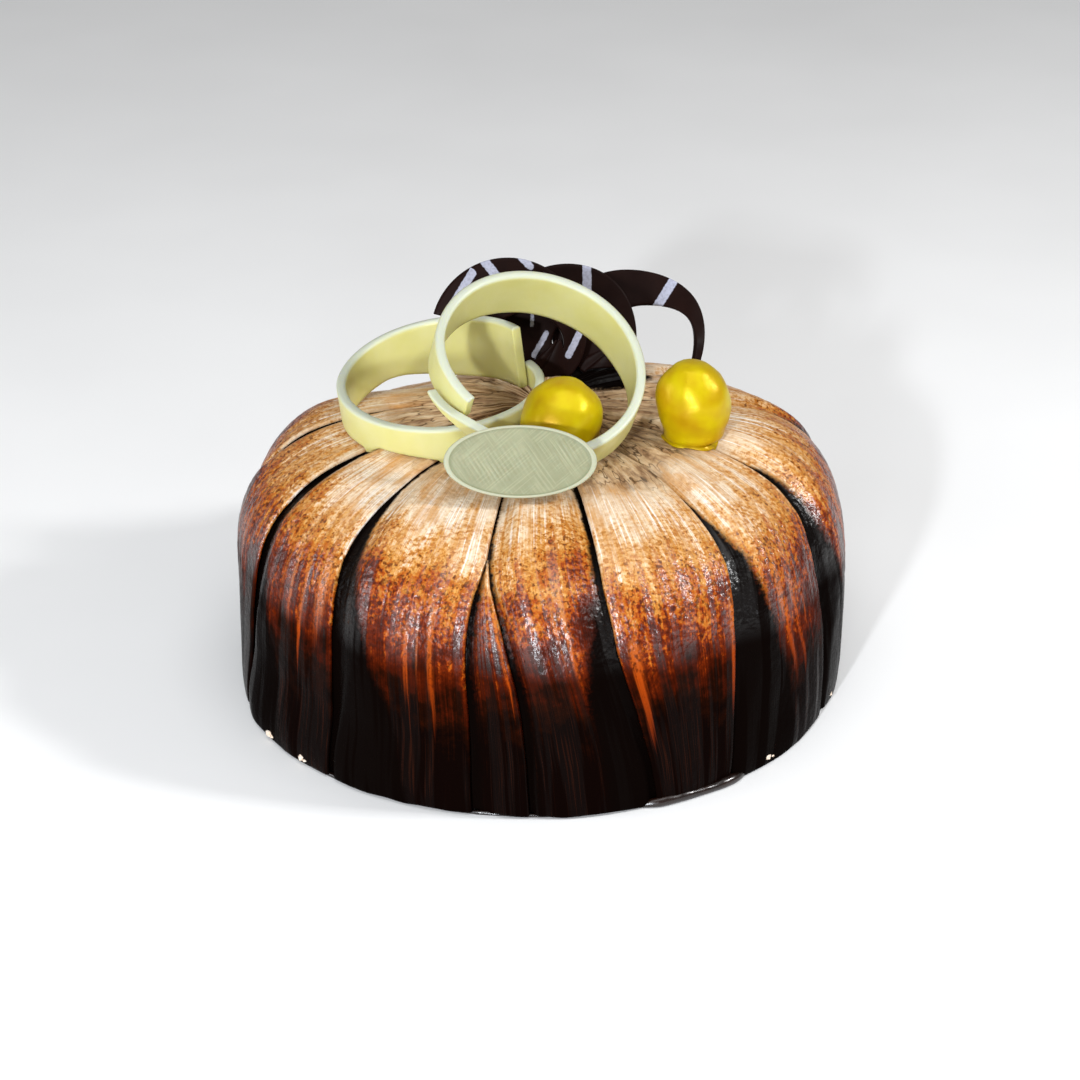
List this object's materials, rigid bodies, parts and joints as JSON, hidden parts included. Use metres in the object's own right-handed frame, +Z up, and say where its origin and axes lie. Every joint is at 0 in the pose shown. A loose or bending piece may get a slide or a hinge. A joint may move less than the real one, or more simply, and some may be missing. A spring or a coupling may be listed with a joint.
{
  "type": "ganache dome cake",
  "caption": "Round dome cake wrapped in overlapping marbled chocolate strips, topped with white chocolate rings, a dark curl, gold berries and a plain plaque.",
  "frame": {"origin": "centre of the flat underside of the cake, on the surface that it stands on", "axes": "+Z up; -Y towards the front, where the plaque faces; +X to the right seen from the front"},
  "size_m": [0.1838, 0.1834, 0.1222],
  "materials": {
    "glossy_ganache": "glossy dark ganache glaze",
    "marbled_chocolate": "marbled cream, caramel and dark chocolate, glossy",
    "white_chocolate": "satin white chocolate",
    "dark_chocolate": "tempered dark chocolate, semi-gloss",
    "gold_lustre_berry": "gold lustre over a knobbly berry",
    "ivory_plaque": "satin ivory chocolate with a raised rim"
  },
  "bodies": {
    "root": {"cake_core": "glossy_ganache", "strip_01": "marbled_chocolate", "strip_02": "marbled_chocolate", "strip_03": "marbled_chocolate", "strip_04": "marbled_chocolate", "strip_05": "marbled_chocolate", "strip_06": "marbled_chocolate", "strip_07": "marbled_chocolate", "strip_08": "marbled_chocolate", "strip_09": "marbled_chocolate", "strip_10": "marbled_chocolate", "strip_11": "marbled_chocolate", "strip_12": "marbled_chocolate", "strip_13": "marbled_chocolate", "strip_narrow": "marbled_chocolate", "ring_lying": "white_chocolate", "ring_standing": "white_chocolate", "dark_curl": "dark_chocolate", "berry_1": "gold_lustre_berry", "berry_2": "gold_lustre_berry", "plaque": "ivory_plaque"}
  },
  "joints": []
}
